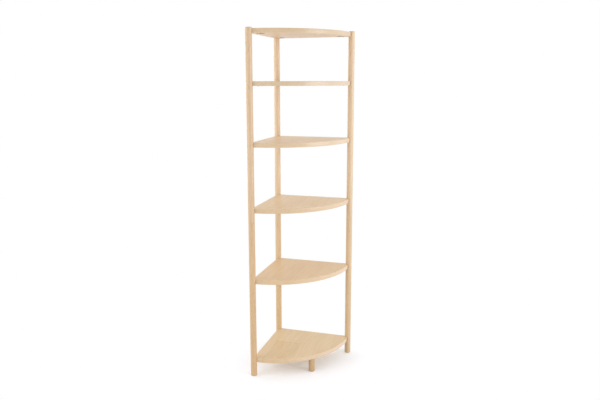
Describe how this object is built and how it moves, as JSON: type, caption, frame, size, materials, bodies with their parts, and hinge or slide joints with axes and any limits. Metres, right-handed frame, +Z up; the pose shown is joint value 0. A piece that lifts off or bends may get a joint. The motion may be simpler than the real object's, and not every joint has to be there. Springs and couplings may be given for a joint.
{
  "type": "corner shelf unit",
  "caption": "Tall open corner shelf unit: quarter-round wooden shelves notched into round posts, with a short round foot under the front of the lowest shelf.",
  "frame": {"origin": "on the floor, midway between the left and the right post, which is the middle of the square that the unit stands in", "axes": "+Z up; +X along the straight edge from the back post to the right post; +Y from the left post to the back post; the round front faces +X and -Y"},
  "size_m": [0.432, 0.432, 1.725],
  "materials": {
    "post_maple": "clear satin lacquer on turned maple",
    "shelf_maple": "clear satin lacquer on maple board",
    "foot_maple": "clear satin lacquer on turned maple",
    "zinc_steel": "bright zinc plate, slightly dulled"
  },
  "bodies": {
    "root": {"left_post": "post_maple", "back_post": "post_maple", "right_post": "post_maple", "bottom_shelf": "shelf_maple", "second_shelf": "shelf_maple", "third_shelf": "shelf_maple", "fourth_shelf": "shelf_maple", "fifth_shelf": "shelf_maple", "top_shelf": "shelf_maple", "front_foot": "foot_maple", "bottom_shelf_left_bolt": "zinc_steel", "bottom_shelf_left_nut": "zinc_steel", "bottom_shelf_back_bolt": "zinc_steel", "bottom_shelf_back_nut": "zinc_steel", "bottom_shelf_right_bolt": "zinc_steel", "bottom_shelf_right_nut": "zinc_steel", "second_shelf_left_bolt": "zinc_steel", "second_shelf_left_nut": "zinc_steel", "second_shelf_back_bolt": "zinc_steel", "second_shelf_back_nut": "zinc_steel", "second_shelf_right_bolt": "zinc_steel", "second_shelf_right_nut": "zinc_steel", "third_shelf_left_bolt": "zinc_steel", "third_shelf_left_nut": "zinc_steel", "third_shelf_back_bolt": "zinc_steel", "third_shelf_back_nut": "zinc_steel", "third_shelf_right_bolt": "zinc_steel", "third_shelf_right_nut": "zinc_steel", "fourth_shelf_left_bolt": "zinc_steel", "fourth_shelf_left_nut": "zinc_steel", "fourth_shelf_back_bolt": "zinc_steel", "fourth_shelf_back_nut": "zinc_steel", "fourth_shelf_right_bolt": "zinc_steel", "fourth_shelf_right_nut": "zinc_steel", "fifth_shelf_left_bolt": "zinc_steel", "fifth_shelf_left_nut": "zinc_steel", "fifth_shelf_back_bolt": "zinc_steel", "fifth_shelf_back_nut": "zinc_steel", "fifth_shelf_right_bolt": "zinc_steel", "fifth_shelf_right_nut": "zinc_steel", "top_shelf_left_bolt": "zinc_steel", "top_shelf_left_nut": "zinc_steel", "top_shelf_back_bolt": "zinc_steel", "top_shelf_back_nut": "zinc_steel", "top_shelf_right_bolt": "zinc_steel", "top_shelf_right_nut": "zinc_steel", "front_foot_screw": "zinc_steel"}
  },
  "joints": []
}
